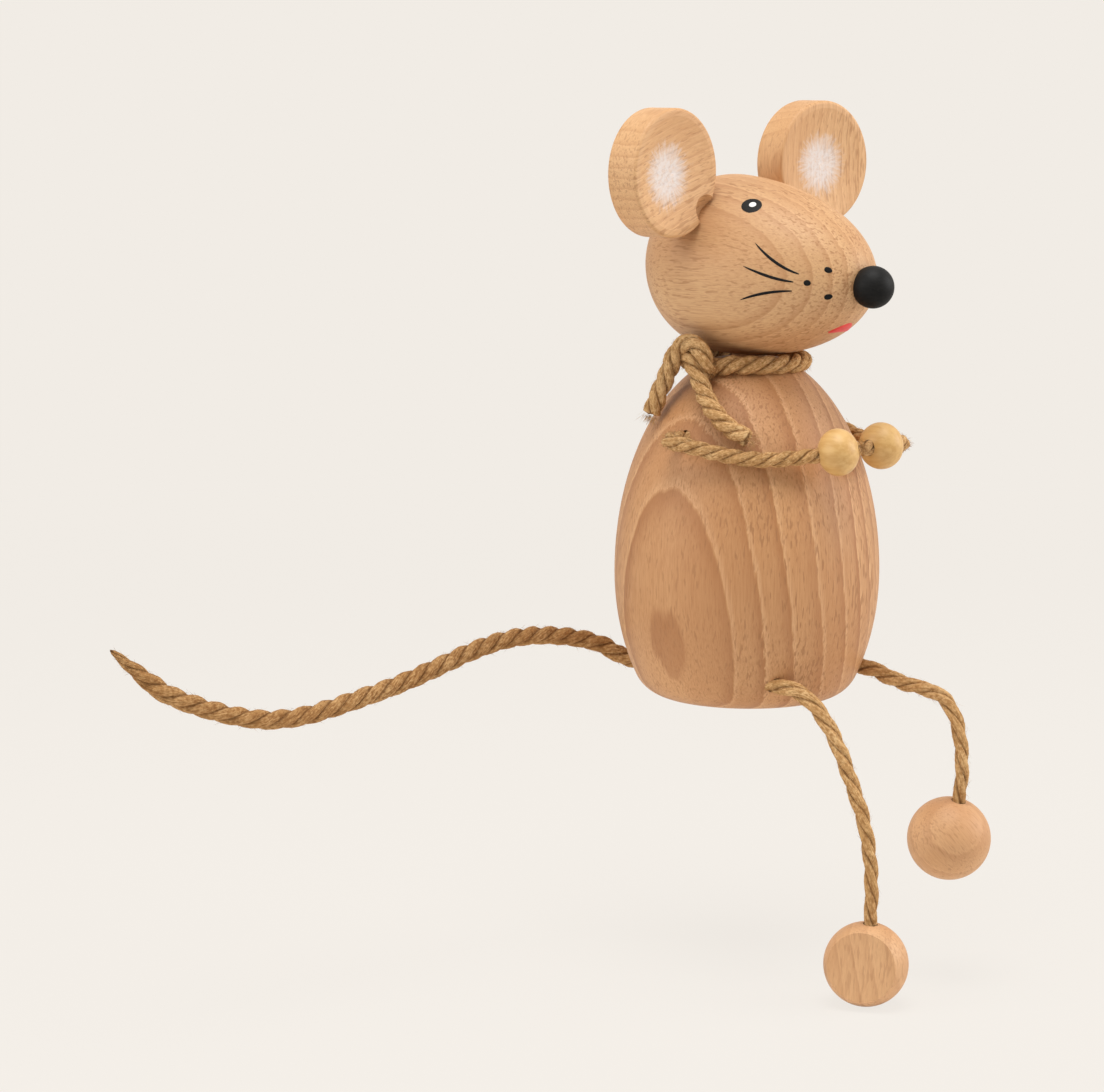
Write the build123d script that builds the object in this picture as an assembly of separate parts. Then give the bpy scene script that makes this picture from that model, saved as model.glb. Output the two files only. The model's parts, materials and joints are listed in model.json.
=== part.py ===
from build123d import *
import os
from math import acos, cos, degrees, radians, sin, sqrt, tan

# A seated mouse figurine: a turned beech body and head, jute cord limbs, tail and scarf.
# Millimetres. The origin is the middle of the flat seat, +Z is up, the mouse looks along -Y
# and its left hand is on +X.

# Body: an egg of two half ellipses on a shared widest ring, cut flat at the seat and the neck
BODY_RADIUS = 32.2
BODY_WIDEST_Z = 30.5
BODY_UPPER_RISE = 53.6
BODY_LOWER_DROP = 46.0
SEAT_EDGE_ROUND = 9.0
NECK_FLAT_DROP = 1.7

# Head: half a ball at the back and half an ellipsoid to the front, nodding down a little
HEAD_RADIUS = 21.5
HEAD_FRONT_LENGTH = 39.5
HEAD_NOD = 5.2
HEAD_SETBACK = 4.5
NECK_GAP = 1.0
NOSE_DIAMETER = 10.0
NOSE_SINK = 3.2

# Neck dowel: glued into the body, a running fit in the head, which rests on its top end
NECK_DOWEL_DIAMETER = 8.0
NECK_DOWEL_DEPTH = 13.0
NECK_DOWEL_RISE = 13.6
RUNNING_CLEARANCE = 0.05

# Ears: dished discs coped onto the head and scooped out in front of it, each on a hidden dowel at an angle
EAR_DIAMETER = 30.2
EAR_THICKNESS = 8.6
EAR_EDGE_ROUND = 0.8
EAR_RIM = 1.8
EAR_DISH_DEPTH = 1.3
EAR_COPE = {"left": 0.3, "right": 0.4}
EAR_ANGLE = {"left": 40.6, "right": 38.6}
EAR_YAW = {"left": 8.0, "right": 0.0}
EAR_ADVANCE = {"left": 2.3, "right": 0.7}
EAR_NOTCH_DIAMETER = 8.0
EAR_NOTCH_FORWARD = 6.0
EAR_NOTCH_INSET = 1.0
EAR_DOWEL_DIAMETER = 4.0
EAR_DOWEL_REACH = 7.0

# Cords of each kind, and how far their glued ends reach into the wood
LEG_CORD = 3.5
ARM_CORD = 3.7
TAIL_CORD = 4.5
SCARF_CORD = 4.0
ROOT_DEPTH = 11.0
FLEX_GAP = 0.3
FLEX_STANDOFF = 2.9
ARM_STANDOFF = 5.4
ARC_SHARE = 0.45

# Hips, shoulders and the tail hole, where the cords leave the body
HIP_SPREAD = 16.7
HIP_Z = 7.2
SHOULDER_DROP = 17.4
TAIL_Z = 6.0

# Feet and hands
FOOT_DIAMETER = 20.0
FOOT_FLAT_DEPTH = 4.2
FOOT_HOLE_DEPTH = 8.0
HAND_DIAMETER = 11.2
HAND_LENGTH = 9.8
HAND_CLEARANCE = 0.08
HAND_STUB = 0.6

# Free routes of the limbs, as steps from the point where each one flexes
LEG_ROUTE = {
    "right": [(0.5, -5.6, -1.5), (0.6, -10.7, -5.8), (0.9, -15.2, -12.6), (1.0, -19.0, -21.0),
              (1.2, -22.9, -30.2), (1.4, -24.8, -41.4), (1.5, -24.5, -53.4)],
    "left": [(-0.8, -6.5, -1.6), (-1.5, -13.0, -2.6), (-1.4, -19.0, -2.9), (-1.3, -23.9, -4.8),
             (-1.5, -27.0, -9.4), (-1.6, -28.5, -15.6), (-1.8, -29.0, -22.2), (-1.8, -28.2, -28.6)],
}
FOOT_HANG = {"right": (-0.1, 1.1, -9.8), "left": (0.0, 2.7, -9.5)}
FOOT_FLAT_FACING = {"right": (-0.93, -0.43, 0.1), "left": (0.9, 0.42, -0.1)}
ARM_ROUTE = {
    "right": [(0.6, -5.4, -0.9), (2.8, -11.6, -2.4), (6.7, -17.8, -3.7), (12.2, -23.4, -4.0)],
    "left": [(-0.3, -6.2, -1.6), (-1.3, -13.0, -3.6), (-3.5, -20.0, -4.3), (-6.9, -26.6, -4.0), (-10.9, -31.8, -2.8),
             (-13.5, -34.2, -1.9)],
}
HAND_STEP = {"right": (21.53, -33.5, -2.1), "left": (-21.53, -33.5, -2.1)}
TAIL_ROUTE = [(-2.6, 5.0, -2.0), (-8.2, 9.0, 2.8), (-15.8, 11.2, 5.1), (-25.2, 12.4, 6.9), (-36.4, 13.5, 7.7),
              (-48.6, 14.7, 6.3), (-60.6, 15.9, 3.4), (-72.6, 17.4, 0.6), (-85.0, 19.4, -1.5),
              (-96.6, 21.4, -3.3), (-107.0, 22.7, -3.6), (-117.6, 24.3, -1.6), (-128.4, 26.2, 2.2),
              (-138.2, 27.7, 6.7), (-144.4, 29.0, 12.1)]
TAIL_TIP_LENGTH = 9.4
TAIL_TIP_DIAMETER = 1.2

# Scarf: one turn round the neck, a knot on the mouse's right, a short and a long end
SCARF_DROP = 0.6
SCARF_CLEARANCE = 0.11
SCARF_SWEEP = 350.0
KNOT_DIAMETER = 9.6
KNOT_STANDOFF = 4.3
KNOT_BEARING = 106.0
KNOT_RISE = 0.8
SHORT_END_ROUTE = [(-1.2, 2.7, -1.4), (-3.5, 4.8, -6.9), (-5.3, 7.0, -13.1)]
LONG_END_ROUTE = [(-0.2, -3.4, -2.6), (-3.5, -7.4, -7.0), (-6.1, -12.7, -11.2), (-6.3, -18.3, -15.0),
                  (-5.4, -22.7, -16.6)]

SIDES = {"left": 1, "right": -1}
NODES = {}


def body_radius(z):
    """Radius of the turned body at a height."""
    half = BODY_UPPER_RISE if z > BODY_WIDEST_Z else BODY_LOWER_DROP
    return BODY_RADIUS * sqrt(1 - ((z - BODY_WIDEST_Z) / half) ** 2)


def rod(start, end, diameter):
    """A plain round rod between two points."""
    line = Vector(*end) - Vector(*start)
    return Plane(origin=start, z_dir=line) * Cylinder(
        diameter / 2, line.length, align=(Align.CENTER, Align.CENTER, Align.MIN))


def cord(name, points, diameter):
    """A cord's tube: runs between the points, joined by arcs as large as the runs allow."""
    points = [Vector(*p) for p in points]
    runs = [b - a for a, b in zip(points, points[1:])]
    radii = []
    for before, after in zip(runs, runs[1:]):
        half_turn = radians(before.get_angle(after)) / 2
        radii.append(ARC_SHARE * min(before.length, after.length) / tan(half_turn))
    path = FilletPolyline(*points, radius=radii)
    tube = sweep(Plane(origin=path @ 0, z_dir=path % 0) * Circle(diameter / 2), path=path)
    filled = tube.volume / (path.length * Circle(diameter / 2).area)
    print(f"{name}: length {path.length:.1f}, fill {filled:.3f}, radii {[round(r, 1) for r in radii]}")
    return tube


def rounded_end(points, diameter):
    """The half ball that a free cord turns on where it flexes."""
    facing = Vector(*points[1]) - Vector(*points[0])
    return Plane(origin=points[0], z_dir=facing) * Sphere(
        diameter / 2, arc_size2=0, align=(Align.CENTER, Align.CENTER, Align.MAX))


def moved(origin, steps):
    """Points at given steps from an origin, the origin first."""
    return [tuple(origin)] + [tuple(o + s for o, s in zip(origin, step)) for step in steps]


def toward(start, end, distance):
    """The point at a distance from start on the way to end."""
    way = (Vector(*end) - Vector(*start)).normalized()
    return tuple(Vector(*start) + way * distance)


def root(flex, inward, diameter):
    """The glued end of a cord, from inside the wood to just short of where the cord flexes."""
    near = toward(flex, inward, diameter / 2 + FLEX_GAP)
    return rod(near, inward, diameter)


# Turned blanks
neck_z = BODY_WIDEST_Z + BODY_UPPER_RISE - NECK_FLAT_DROP
neck_angle = degrees(acos((neck_z - BODY_WIDEST_Z) / BODY_UPPER_RISE))
seat_angle = degrees(acos(-BODY_WIDEST_Z / BODY_LOWER_DROP))
outline = make_face([
    Line((neck_z, 0), (neck_z, body_radius(neck_z))),
    EllipticalCenterArc((BODY_WIDEST_Z, 0), BODY_UPPER_RISE, BODY_RADIUS, start_angle=neck_angle,
                        arc_size=90 - neck_angle),
    EllipticalCenterArc((BODY_WIDEST_Z, 0), BODY_LOWER_DROP, BODY_RADIUS, start_angle=90,
                        arc_size=seat_angle - 90),
    Line((0, body_radius(0)), (0, 0)),
    Line((0, 0), (neck_z, 0)),
])
body = Plane(origin=(0, 0, 0), x_dir=(0, 0, 1), z_dir=(1, 0, 0)) * revolve(outline, axis=Axis.X)
seat_edge = body.edges().group_by(Axis.Z)[0]
body = fillet(seat_edge, SEAT_EDGE_ROUND)

head_forward = Vector(0, -cos(radians(HEAD_NOD)), -sin(radians(HEAD_NOD)))
head_ball = Vector(0, HEAD_SETBACK, neck_z + NECK_GAP + HEAD_RADIUS)
profile = make_face([
    EllipticalCenterArc((0, 0), HEAD_FRONT_LENGTH, HEAD_RADIUS, start_angle=0, arc_size=90),
    CenterArc((0, 0), HEAD_RADIUS, 90, 90),
    Line((-HEAD_RADIUS, 0), (HEAD_FRONT_LENGTH, 0)),
])
head_blank = Plane(origin=head_ball, x_dir=head_forward, z_dir=(1, 0, 0)) * revolve(profile, axis=Axis.X)

# Neck dowel, nose and their seats in the head
dowel_top = (0, 0, neck_z + NECK_DOWEL_RISE)
neck_dowel = rod((0, 0, neck_z - NECK_DOWEL_DEPTH), dowel_top, NECK_DOWEL_DIAMETER)
body -= neck_dowel
nose_centre = head_ball + head_forward * (HEAD_FRONT_LENGTH + NOSE_DIAMETER / 2 - NOSE_SINK)
nose = Pos(*nose_centre) * Sphere(NOSE_DIAMETER / 2)
neck_bore = rod((0, 0, neck_z - HEAD_RADIUS), dowel_top, NECK_DOWEL_DIAMETER + 2 * RUNNING_CLEARANCE)
head = head_blank - nose - neck_bore
NODES["neck_dowel"] = neck_dowel
NODES["nose"] = nose

# Ears and their dowels
dish_radius = EAR_DIAMETER / 2 - EAR_RIM
dish_ball = (dish_radius ** 2 / EAR_DISH_DEPTH + EAR_DISH_DEPTH) / 2
ear_blank = Cylinder(EAR_DIAMETER / 2, EAR_THICKNESS)
ear_blank = fillet(ear_blank.edges().filter_by(GeomType.CIRCLE), EAR_EDGE_ROUND)
ear_blank -= Pos(0, 0, EAR_THICKNESS / 2 + dish_ball - EAR_DISH_DEPTH) * Sphere(dish_ball)
for side, sign in SIDES.items():
    ear_seat = head_ball - Vector(0, EAR_ADVANCE[side], 0)
    rise = radians(EAR_ANGLE[side])
    ear_way = Vector(sign * cos(rise), 0, sin(rise))
    ear_centre = ear_seat + ear_way * (HEAD_RADIUS + EAR_DIAMETER / 2 - EAR_COPE[side])
    meeting = toward(ear_seat, ear_centre, HEAD_RADIUS)
    ear_dowel = rod(toward(meeting, ear_seat, EAR_DOWEL_REACH), toward(meeting, ear_centre, EAR_DOWEL_REACH),
                    EAR_DOWEL_DIAMETER)
    yaw = radians(EAR_YAW[side])
    ear_plane = Plane(origin=ear_centre, x_dir=(cos(yaw), -sin(yaw), 0), z_dir=(-sin(yaw), -cos(yaw), 0))
    notch_centre = Vector(*toward(ear_centre, ear_seat, EAR_DIAMETER / 2 - EAR_NOTCH_INSET)) - Vector(0, EAR_NOTCH_FORWARD, 0)
    notch = Pos(*notch_centre) * Sphere(EAR_NOTCH_DIAMETER / 2)
    ear = ear_plane * ear_blank - head_blank - ear_dowel - notch
    head -= ear_dowel
    NODES[f"{side}_ear"] = ear
    NODES[f"{side}_ear_dowel"] = ear_dowel
NODES["head"] = head

# Legs and feet
for side, sign in SIDES.items():
    hip_mouth = (sign * HIP_SPREAD, -sqrt(body_radius(HIP_Z) ** 2 - HIP_SPREAD ** 2), HIP_Z)
    hip = (hip_mouth[0], hip_mouth[1] - FLEX_STANDOFF, HIP_Z)
    leg_root = root(hip, (hip_mouth[0], hip_mouth[1] + ROOT_DEPTH, HIP_Z), LEG_CORD)
    points = moved(hip, LEG_ROUTE[side])
    hang = moved(points[-1], [FOOT_HANG[side]])
    foot_centre = toward(*hang, FOOT_DIAMETER / 2)
    points.append(toward(*hang, FOOT_HOLE_DEPTH))
    leg = cord(f"{side}_leg", points, LEG_CORD) + rounded_end(points, LEG_CORD)
    flat_plane = Plane(origin=foot_centre, z_dir=FOOT_FLAT_FACING[side])
    flat = flat_plane * Pos(0, 0, FOOT_DIAMETER / 2 - FOOT_FLAT_DEPTH) * Box(
        FOOT_DIAMETER, FOOT_DIAMETER, FOOT_DIAMETER, align=(Align.CENTER, Align.CENTER, Align.MIN))
    body -= leg_root
    NODES[f"{side}_leg_root"] = leg_root
    NODES[f"{side}_leg"] = leg
    NODES[f"{side}_foot"] = Pos(*foot_centre) * Sphere(FOOT_DIAMETER / 2) - flat - leg
    print(f"{side} hip at {[round(v, 3) for v in hip]}")

# Arms and hands
shoulder_z = neck_z - SHOULDER_DROP
bead_outline = make_face([
    EllipticalCenterArc((0, 0), HAND_LENGTH / 2, HAND_DIAMETER / 2, start_angle=0, arc_size=180),
    Line((-HAND_LENGTH / 2, 0), (HAND_LENGTH / 2, 0)),
])
bead_blank = Plane(origin=(0, 0, 0), x_dir=(0, 0, 1), z_dir=(1, 0, 0)) * revolve(bead_outline, axis=Axis.X)
for side, sign in SIDES.items():
    shoulder_mouth = (sign * body_radius(shoulder_z), 0, shoulder_z)
    shoulder = (shoulder_mouth[0] + sign * ARM_STANDOFF, 0, shoulder_z)
    arm_root = root(shoulder, (shoulder_mouth[0] - sign * ROOT_DEPTH, 0, shoulder_z), ARM_CORD)
    points = moved(shoulder, ARM_ROUTE[side])
    hand_centre = moved(shoulder, [HAND_STEP[side]])[1]
    wrist = points[-1]
    reach = (Vector(*hand_centre) - Vector(*wrist)).length
    points.append(toward(wrist, hand_centre, reach + HAND_LENGTH / 2 + HAND_STUB))
    arm = cord(f"{side}_arm", points, ARM_CORD) + rounded_end(points, ARM_CORD)
    bead = bead_blank - Cylinder(ARM_CORD / 2 + HAND_CLEARANCE, 2 * HAND_LENGTH)
    body -= arm_root
    NODES[f"{side}_arm_root"] = arm_root
    NODES[f"{side}_arm"] = arm
    NODES[f"{side}_hand"] = Plane(origin=hand_centre, z_dir=Vector(*hand_centre) - Vector(*wrist)) * bead
    print(f"{side} shoulder at {[round(v, 3) for v in shoulder]}, hand at {[round(v, 3) for v in hand_centre]}")

# Tail, with a tapered tip
tail_mouth = (0, body_radius(TAIL_Z), TAIL_Z)
tail_flex = (0, tail_mouth[1] + FLEX_STANDOFF, TAIL_Z)
tail_root = root(tail_flex, (0, tail_mouth[1] - ROOT_DEPTH, TAIL_Z), TAIL_CORD)
points = moved(tail_flex, TAIL_ROUTE)
tip_line = Vector(*points[-1]) - Vector(*points[-2])
tip = Plane(origin=points[-1], z_dir=tip_line) * Cone(
    TAIL_CORD / 2, TAIL_TIP_DIAMETER / 2, TAIL_TIP_LENGTH, align=(Align.CENTER, Align.CENTER, Align.MIN))
tail = cord("tail", points, TAIL_CORD) + rounded_end(points, TAIL_CORD) + tip
body -= tail_root
NODES["tail_root"] = tail_root
NODES["tail"] = tail
print(f"tail flex at {[round(v, 3) for v in tail_flex]}")

# Scarf: the turn rests on the body's shoulder and runs round from the knot, which covers its join
turn_z = neck_z - SCARF_DROP
rest_offset = SCARF_CORD / 2 * sin(radians(45))
turn_radius = body_radius(turn_z - rest_offset) + rest_offset + SCARF_CLEARANCE
knot_way = Vector(-sin(radians(KNOT_BEARING)), -cos(radians(KNOT_BEARING)), 0)
knot_centre = knot_way * (turn_radius + KNOT_STANDOFF) + Vector(0, 0, turn_z + KNOT_RISE)
turn_path = CenterArc((0, 0, turn_z), turn_radius, 270 - KNOT_BEARING, SCARF_SWEEP)
scarf_loop = sweep(Plane(origin=turn_path @ 0, z_dir=turn_path % 0) * Circle(SCARF_CORD / 2), path=turn_path)
short_end = cord("scarf_short_end", moved(knot_centre, SHORT_END_ROUTE), SCARF_CORD)
long_end = cord("scarf_long_end", moved(knot_centre, LONG_END_ROUTE), SCARF_CORD)
long_end -= short_end
knot = Pos(*knot_centre) * Sphere(KNOT_DIAMETER / 2) - scarf_loop - short_end - long_end
NODES["scarf_loop"] = scarf_loop
NODES["scarf_knot"] = knot
NODES["scarf_short_end"] = short_end - scarf_loop
NODES["scarf_long_end"] = long_end - scarf_loop
NODES["body"] = body
print(f"knot at {[round(v, 3) for v in knot_centre]}")

os.makedirs("parts", exist_ok=True)
for name, solid in NODES.items():
    solid.label = name
    export_step(solid, f"parts/{name}.step")
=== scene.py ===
"""A seated beech mouse with jute cord limbs, tail and scarf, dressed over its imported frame."""

import json
import logging
import math
import random
from collections.abc import Callable, Sequence
from dataclasses import dataclass, field
from enum import Enum

import bmesh
import bpy
from mathutils import Vector, geometry, noise
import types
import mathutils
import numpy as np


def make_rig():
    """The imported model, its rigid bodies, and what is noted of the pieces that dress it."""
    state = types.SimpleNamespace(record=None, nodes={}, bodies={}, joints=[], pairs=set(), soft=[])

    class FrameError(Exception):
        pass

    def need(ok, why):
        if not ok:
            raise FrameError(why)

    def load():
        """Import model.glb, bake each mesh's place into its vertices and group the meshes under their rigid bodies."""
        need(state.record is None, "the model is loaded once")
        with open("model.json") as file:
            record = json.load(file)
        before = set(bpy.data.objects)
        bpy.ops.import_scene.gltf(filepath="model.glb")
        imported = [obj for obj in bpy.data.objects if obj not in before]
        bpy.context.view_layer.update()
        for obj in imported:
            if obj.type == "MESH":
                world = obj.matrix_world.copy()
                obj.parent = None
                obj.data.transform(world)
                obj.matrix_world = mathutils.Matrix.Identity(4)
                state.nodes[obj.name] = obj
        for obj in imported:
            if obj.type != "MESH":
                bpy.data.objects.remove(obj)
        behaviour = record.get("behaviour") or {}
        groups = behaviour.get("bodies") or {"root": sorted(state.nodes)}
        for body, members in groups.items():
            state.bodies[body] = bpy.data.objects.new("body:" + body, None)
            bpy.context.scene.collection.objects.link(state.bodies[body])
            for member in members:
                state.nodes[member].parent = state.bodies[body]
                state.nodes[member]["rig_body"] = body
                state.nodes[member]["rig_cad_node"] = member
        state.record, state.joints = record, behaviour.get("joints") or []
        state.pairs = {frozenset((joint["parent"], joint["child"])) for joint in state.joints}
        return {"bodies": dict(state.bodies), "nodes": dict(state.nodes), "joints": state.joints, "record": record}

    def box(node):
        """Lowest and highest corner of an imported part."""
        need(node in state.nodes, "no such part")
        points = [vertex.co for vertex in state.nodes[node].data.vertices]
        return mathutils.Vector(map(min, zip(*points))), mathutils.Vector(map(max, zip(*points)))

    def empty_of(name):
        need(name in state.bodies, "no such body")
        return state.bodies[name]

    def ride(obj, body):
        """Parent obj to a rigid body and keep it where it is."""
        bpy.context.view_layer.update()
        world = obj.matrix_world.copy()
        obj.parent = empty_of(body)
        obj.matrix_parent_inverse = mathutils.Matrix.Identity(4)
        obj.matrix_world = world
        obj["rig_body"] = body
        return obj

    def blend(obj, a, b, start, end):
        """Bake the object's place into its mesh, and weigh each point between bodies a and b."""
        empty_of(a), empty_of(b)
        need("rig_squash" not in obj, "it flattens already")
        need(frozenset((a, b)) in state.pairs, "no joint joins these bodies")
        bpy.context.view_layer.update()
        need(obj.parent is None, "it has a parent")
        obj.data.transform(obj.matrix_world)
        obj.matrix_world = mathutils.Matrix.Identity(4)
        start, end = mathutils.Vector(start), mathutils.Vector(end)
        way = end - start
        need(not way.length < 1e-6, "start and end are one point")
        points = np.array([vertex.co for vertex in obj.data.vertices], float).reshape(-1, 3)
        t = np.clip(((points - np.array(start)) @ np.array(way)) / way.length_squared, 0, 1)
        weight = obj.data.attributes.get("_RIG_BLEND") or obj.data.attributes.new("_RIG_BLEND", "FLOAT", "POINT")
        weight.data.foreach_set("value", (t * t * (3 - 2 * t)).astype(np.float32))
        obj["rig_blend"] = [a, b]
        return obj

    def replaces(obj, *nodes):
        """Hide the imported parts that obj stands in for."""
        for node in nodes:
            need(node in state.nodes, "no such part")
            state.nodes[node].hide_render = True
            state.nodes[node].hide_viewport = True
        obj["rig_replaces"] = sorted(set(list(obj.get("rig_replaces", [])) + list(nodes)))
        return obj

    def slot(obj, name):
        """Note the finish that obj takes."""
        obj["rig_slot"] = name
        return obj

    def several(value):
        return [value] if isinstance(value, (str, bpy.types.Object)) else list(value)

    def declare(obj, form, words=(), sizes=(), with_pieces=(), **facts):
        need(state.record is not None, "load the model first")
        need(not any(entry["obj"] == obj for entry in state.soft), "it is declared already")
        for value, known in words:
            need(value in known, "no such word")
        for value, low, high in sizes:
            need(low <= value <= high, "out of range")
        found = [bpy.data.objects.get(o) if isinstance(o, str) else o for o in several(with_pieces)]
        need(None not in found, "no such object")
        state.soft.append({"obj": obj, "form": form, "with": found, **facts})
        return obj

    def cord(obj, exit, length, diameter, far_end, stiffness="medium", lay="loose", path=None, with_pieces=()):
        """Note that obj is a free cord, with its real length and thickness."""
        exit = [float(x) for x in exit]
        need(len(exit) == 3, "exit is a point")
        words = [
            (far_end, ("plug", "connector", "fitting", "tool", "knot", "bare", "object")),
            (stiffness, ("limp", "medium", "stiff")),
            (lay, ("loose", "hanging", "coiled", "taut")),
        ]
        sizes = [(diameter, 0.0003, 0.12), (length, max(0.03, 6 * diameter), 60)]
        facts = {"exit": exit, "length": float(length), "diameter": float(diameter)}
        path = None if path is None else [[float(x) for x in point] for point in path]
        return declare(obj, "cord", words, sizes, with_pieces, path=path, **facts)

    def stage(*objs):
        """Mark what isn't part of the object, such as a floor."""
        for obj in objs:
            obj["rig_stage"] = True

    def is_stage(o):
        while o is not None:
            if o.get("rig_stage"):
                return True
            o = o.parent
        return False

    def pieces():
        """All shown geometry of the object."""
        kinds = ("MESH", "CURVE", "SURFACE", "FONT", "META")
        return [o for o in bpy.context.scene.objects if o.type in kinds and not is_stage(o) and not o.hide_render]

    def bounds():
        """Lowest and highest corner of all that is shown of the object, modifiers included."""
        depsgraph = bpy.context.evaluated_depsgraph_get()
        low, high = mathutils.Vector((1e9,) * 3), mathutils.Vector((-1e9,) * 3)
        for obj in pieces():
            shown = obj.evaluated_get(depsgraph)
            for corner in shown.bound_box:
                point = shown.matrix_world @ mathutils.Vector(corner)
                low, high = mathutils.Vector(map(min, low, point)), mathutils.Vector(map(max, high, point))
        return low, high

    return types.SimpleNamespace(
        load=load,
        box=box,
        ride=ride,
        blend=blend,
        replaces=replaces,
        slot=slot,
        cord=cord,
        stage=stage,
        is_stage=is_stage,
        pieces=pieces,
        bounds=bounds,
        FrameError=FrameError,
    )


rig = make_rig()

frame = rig.load()

MM = 0.001
SIZE_FILE = "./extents.json"
log = logging.getLogger("mouse")

Colour = tuple[float, float, float]
Step = tuple[float, float, float]
Pair = tuple[float, float]
Rule = Callable[[float, float], Vector]
Material = bpy.types.Material


class Side(Enum):
    """The mouse's own left and right, as the sign of X."""

    LEFT = 1
    RIGHT = -1

    @property
    def word(self) -> str:
        """The side's name in node and body names."""
        return self.name.lower()


class Sock:
    """A shader socket whose maths is written as Python expressions."""

    def __init__(self, shader: "Nodes", socket: bpy.types.NodeSocket) -> None:
        """Keeps the socket and the node tree that it belongs to."""
        self.shader = shader
        self.socket = socket

    def _math(self, operation: str, first: "Sock | float", second: "Sock | float") -> "Sock":
        """One Math node of two values."""
        return self.shader.node("ShaderNodeMath", {"operation": operation}, {0: first, 1: second})

    def __add__(self, other: "Sock | float") -> "Sock":
        """The sum."""
        return self._math("ADD", self, other)

    __radd__ = __add__

    def __sub__(self, other: "Sock | float") -> "Sock":
        """The difference."""
        return self._math("SUBTRACT", self, other)

    def __mul__(self, other: "Sock | float") -> "Sock":
        """The product."""
        return self._math("MULTIPLY", self, other)

    __rmul__ = __mul__

    def __pow__(self, other: float) -> "Sock":
        """The power."""
        return self._math("POWER", self, other)

    def __mod__(self, other: float) -> "Sock":
        """What is left over after whole steps."""
        return self._math("FLOORED_MODULO", self, other)


class Nodes:
    """A node tree in the making."""

    def __init__(self, tree: bpy.types.NodeTree) -> None:
        """Starts from an empty tree.

        Args:
            tree: The tree, which is cleared.
        """
        self.tree = tree
        self.tree.nodes.clear()

    def node(self, kind: str, settings: dict | None = None, inputs: dict | None = None,
             out: int | str = 0) -> Sock:
        """Adds a node.

        Args:
            kind: The node's type.
            settings: Its own settings, set before its sockets.
            inputs: Values or links by socket name or index.
            out: The output that is handed on.

        Returns:
            That output.
        """
        made = self.tree.nodes.new(kind)
        for key, value in (settings or {}).items():
            setattr(made, key, value)
        for key, value in (inputs or {}).items():
            if isinstance(value, Sock):
                self.tree.links.new(value.socket, made.inputs[key])
            else:
                made.inputs[key].default_value = value
        return Sock(self, made.outputs[out])

    def close(self, kind: str, surface: Sock) -> None:
        """Ends the tree in an output node of a kind, fed by a surface."""
        self.tree.links.new(surface.socket, self.tree.nodes.new(kind).inputs["Surface"])


class Shader(Nodes):
    """A node material in the making, with one surface shader."""

    def __init__(self, name: str) -> None:
        """Starts an empty node material.

        Args:
            name: The material's name.
        """
        self.material = bpy.data.materials.new(name)
        self.material.use_nodes = True
        super().__init__(self.material.node_tree)

    def mix(self, share: Sock | float, first: Sock | Colour, second: Sock | Colour) -> Sock:
        """A mix of two colours."""
        first = first if isinstance(first, Sock) else (*first, 1.0)
        second = second if isinstance(second, Sock) else (*second, 1.0)
        return self.node("ShaderNodeMix", {"data_type": "RGBA"}, {0: share, 6: first, 7: second}, 2)

    def span(self, value: Sock, low: float, high: float) -> Sock:
        """A smooth rise from 0 to 1 between two values, or a fall where low is the larger."""
        return self.node("ShaderNodeMapRange", {"interpolation_type": "SMOOTHSTEP"},
                         {"Value": value, "From Min": low, "From Max": high})

    def vector(self, operation: str, first: Sock, second: Step, out: int | str = 0) -> Sock:
        """A Vector Math node of a vector and a constant."""
        return self.node("ShaderNodeVectorMath", {"operation": operation}, {0: first, 1: second}, out)

    def length(self, place: Sock) -> Sock:
        """A vector's length."""
        return self.node("ShaderNodeVectorMath", {"operation": "LENGTH"}, {0: place}, "Value")

    def noise(self, place: Sock, stretch: Step, detail: float = 2.0, rough: float = 0.5) -> Sock:
        """Noise on stretched coordinates.

        Args:
            place: The coordinates.
            stretch: How often it changes along each of them.
            detail: The noise's octaves.
            rough: How strong the finer octaves are.

        Returns:
            The noise, about 0.5.
        """
        scaled = self.vector("MULTIPLY", place, stretch)
        return self.node("ShaderNodeTexNoise", None,
                         {"Vector": scaled, "Scale": 1.0, "Detail": detail, "Roughness": rough})

    def object_mm(self) -> Sock:
        """Object coordinates in millimetres."""
        place = self.node("ShaderNodeTexCoord", None, None, "Object")
        return self.vector("MULTIPLY", place, (1 / MM, 1 / MM, 1 / MM))

    def part(self, place: Sock, axis: str) -> Sock:
        """One coordinate of a vector."""
        return self.node("ShaderNodeSeparateXYZ", None, {0: place}, axis)

    def finish(self, colour: Sock | Colour, roughness: Sock | float, height: Sock | None = None,
               depth: float = 0.0, **fixed: float) -> Material:
        """Closes the material with a surface shader.

        Args:
            colour: The base colour.
            roughness: The roughness.
            height: What raises the surface, 0 to 1.
            depth: How far it does, in metres.
            fixed: Values of other sockets, with _ for a blank in their names.

        Returns:
            The material.
        """
        base = colour if isinstance(colour, Sock) else (*colour, 1.0)
        inputs = {"Base Color": base, "Roughness": roughness}
        inputs.update({key.replace("_", " "): value for key, value in fixed.items()})
        if height is not None:
            inputs["Normal"] = self.node("ShaderNodeBump", None,
                                         {"Height": height, "Distance": depth, "Strength": 1.0})
        self.close("ShaderNodeOutputMaterial", self.node("ShaderNodeBsdfPrincipled", None, inputs))
        return self.material


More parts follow.
